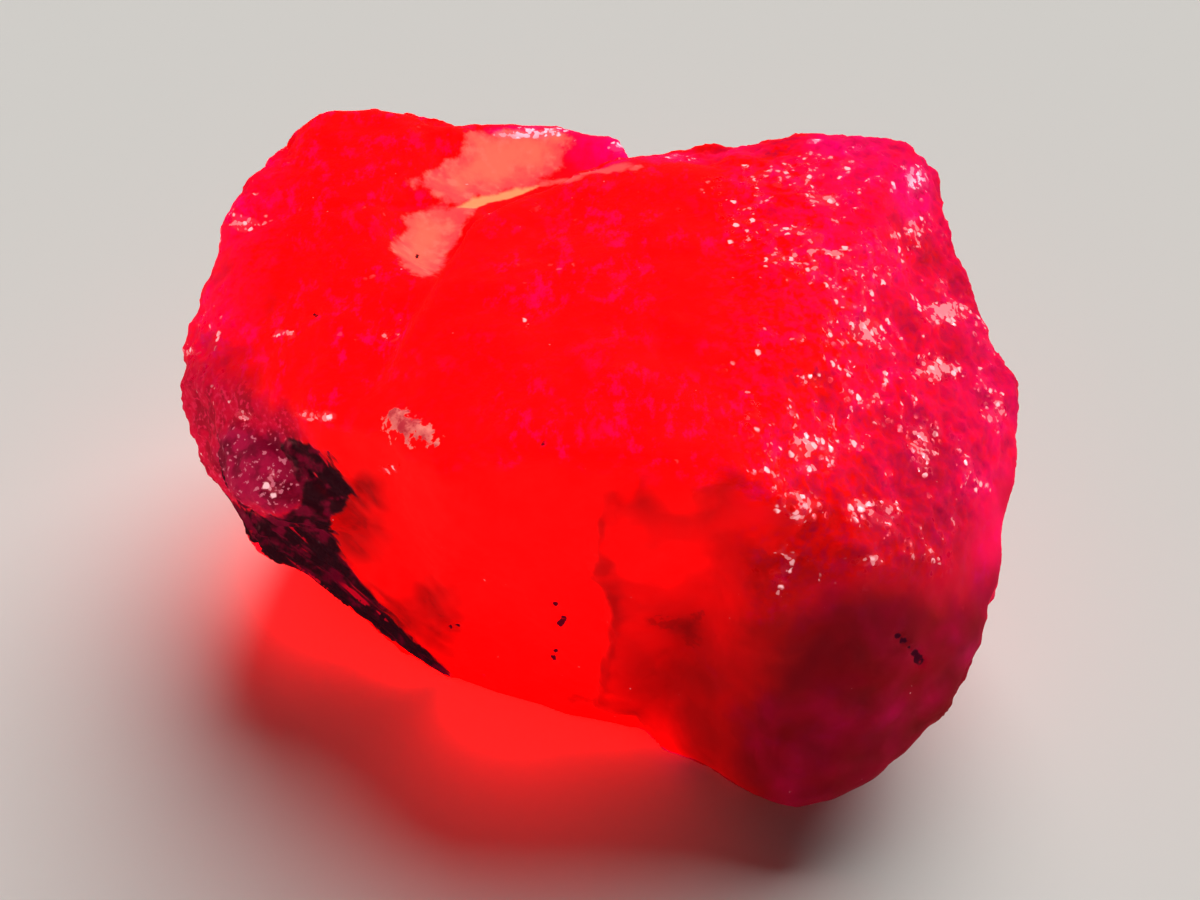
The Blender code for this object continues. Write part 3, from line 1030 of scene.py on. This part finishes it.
def roughness_here(n, m, facet):
    rough = n.plus(0.80, n.times(m.middle, 0.3), n.times(m.window, -0.15), n.times(m.skin, -0.35))
    return n.plus(rough, n.times(facet, -0.62))


def normal_here(n, m, facet, looks):
    """The surface's own normal, a little uneven, or where there is a facet, the way that it looks."""
    unevenness = n.plus(0.15, n.times(m.glint, 0.45), n.times(m.skin, 0.9), n.times(m.knob, 0.9))
    sway = n.vector("SCALE", n.noise(1.3, detail=2.0, output=1), unevenness)
    own = n.make("ShaderNodeNewGeometry").outputs["Normal"]
    turned = n.make("ShaderNodeMix", data_type="VECTOR")
    n.join(facet, turned.inputs["Factor"])
    n.join(n.vector("ADD", own, sway), turned.inputs[4])
    n.join(n.vector("NORMALIZE", looks), turned.inputs[5])
    return n.vector("NORMALIZE", turned.outputs[1])


def ruby_material():
    material = bpy.data.materials.new("ruby")
    material.use_nodes = True
    shader = material.node_tree.nodes["Principled BSDF"]
    n = Nodes(material)
    m = read_surface(n)
    dot, dot_number, dot_looks = grains(n)

    lit, base = red_stone(n, m)
    lit, base = add_thin_places(n, m, lit, base)
    lit, base = add_knob(n, m, lit, base)
    lit, base = add_dark_skin(n, m, lit, base)
    lit, base = add_crumbs_and_specks(n, m, lit, base)
    lit, base, facet = add_painted_glints(n, m, dot, dot_number, lit, base)

    n.join(base, shader.inputs["Base Color"])
    # The emission is painted light: the glow through the stone, its painted shade, and painted glints
    # and sheen.
    n.join(lit, shader.inputs["Emission Color"])
    n.join(roughness_here(n, m, facet), shader.inputs["Roughness"])
    n.join(normal_here(n, m, facet, dot_looks), shader.inputs["Normal"])
    shader.inputs["Emission Strength"].default_value = 1.0
    shader.inputs["IOR"].default_value = INDEX_OF_REFRACTION
    shader.inputs["Specular Tint"].default_value = GLOSS_TINT
    material.cycles.emission_sampling = "NONE"
    return material


# ------------------------------------------------------------------------------------ the studio

SENSOR = 36.0
FLOOR_SIZE = 40.0
FLOOR_PALE = (0.74, 0.73, 0.71, 1.0)
SUNLIGHT = (1.0, 0.985, 0.96)
HORIZON = (0.52, 0.51, 0.49, 1.0)
OVERHEAD = (0.03, 0.03, 0.03, 1.0)
DIM_FROM = 0.30
# The sparkles' distance from the stone and their size, in metres.
SPARKLE_DISTANCE = 0.75
SPARKLE_SIZE = 0.06


def place(x, y, z):
    """A point in metres, from millimetres about the working centre."""
    return Vector((np.array((x, y, z)) + WORKING_CENTRE) * MM)


def add_camera():
    data = bpy.data.cameras.new("camera")
    data.sensor_width = SENSOR
    data.lens = SENSOR / 2 / math.tan(FIELD_OF_VIEW / 2)
    data.clip_start = 0.01
    camera = bpy.data.objects.new("camera", data)
    bpy.context.scene.collection.objects.link(camera)
    camera.location = place(*CAMERA_PLACE)
    camera.rotation_euler = (math.pi / 2 - CAMERA_ELEVATION, 0.0, 0.0)
    bpy.context.scene.camera = camera


def add_sun(towards, strength, spread):
    """A wide soft light, in this direction from the stone."""
    data = bpy.data.lights.new("sun", "SUN")
    data.energy = strength
    data.angle = math.radians(spread)
    data.color = SUNLIGHT
    light = bpy.data.objects.new("sun", data)
    bpy.context.scene.collection.objects.link(light)
    light.rotation_euler = Vector(towards).to_track_quat("Z", "Y").to_euler()
    light.visible_glossy = False


def add_sparkle(name, towards, power):
    """A small square light that shows only in the gloss, for the glints."""
    data = bpy.data.lights.new(name, "AREA")
    data.shape = "SQUARE"
    data.size = SPARKLE_SIZE
    data.energy = power
    light = bpy.data.objects.new(name, data)
    bpy.context.scene.collection.objects.link(light)
    aim = Vector(towards).normalized()
    light.location = place(0, 0, 25) + aim * SPARKLE_DISTANCE
    light.rotation_euler = aim.to_track_quat("Z", "Y").to_euler()
    light.visible_diffuse = False


def add_floor():
    bpy.ops.mesh.primitive_plane_add(size=FLOOR_SIZE, location=(0.0, 0.0, 0.0))
    floor = bpy.context.object
    floor.name = "floor"
    material = bpy.data.materials.new("pale_floor")
    material.use_nodes = True
    shader = material.node_tree.nodes["Principled BSDF"]
    shader.inputs["Base Color"].default_value = FLOOR_PALE
    shader.inputs["Roughness"].default_value = 1.0
    shader.inputs["Specular IOR Level"].default_value = 0.0
    floor.data.materials.append(material)
    floor.visible_glossy = False


def add_world():
    """Pale at the horizon and dim overhead, so that the floor's shadows keep the red that the stone's
    painted glow casts.
    """
    world = bpy.data.worlds.new("studio")
    bpy.context.scene.world = world
    world.use_nodes = True
    tree = world.node_tree
    background = tree.nodes["Background"]
    coords = tree.nodes.new("ShaderNodeTexCoord")
    split = tree.nodes.new("ShaderNodeSeparateXYZ")
    ramp = tree.nodes.new("ShaderNodeValToRGB")
    ramp.color_ramp.interpolation = "EASE"
    ramp.color_ramp.elements[0].position = 0.0
    ramp.color_ramp.elements[0].color = HORIZON
    ramp.color_ramp.elements[1].position = DIM_FROM
    ramp.color_ramp.elements[1].color = OVERHEAD
    tree.links.new(coords.outputs["Generated"], split.inputs[0])
    tree.links.new(split.outputs["Z"], ramp.inputs["Fac"])
    tree.links.new(ramp.outputs["Color"], background.inputs["Color"])
    background.inputs["Strength"].default_value = 1.0
    world.cycles_visibility.glossy = False


def add_studio():
    add_world()
    add_floor()
    add_sun(towards=(0.30, 0.62, 0.72), strength=3.5, spread=55.0)
    add_sparkle("right_sparkle", (0.82, -0.13, 0.55), 1.5)
    add_sparkle("left_sparkle", (-0.93, -0.22, 0.28), 0.7)
    add_camera()
    bpy.context.scene.view_settings.view_transform = "Standard"


stone = fine_stone()
shape_stone(stone)
stone.data.materials.append(ruby_material())
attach(stone, "root")
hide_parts(NODE)
add_studio()
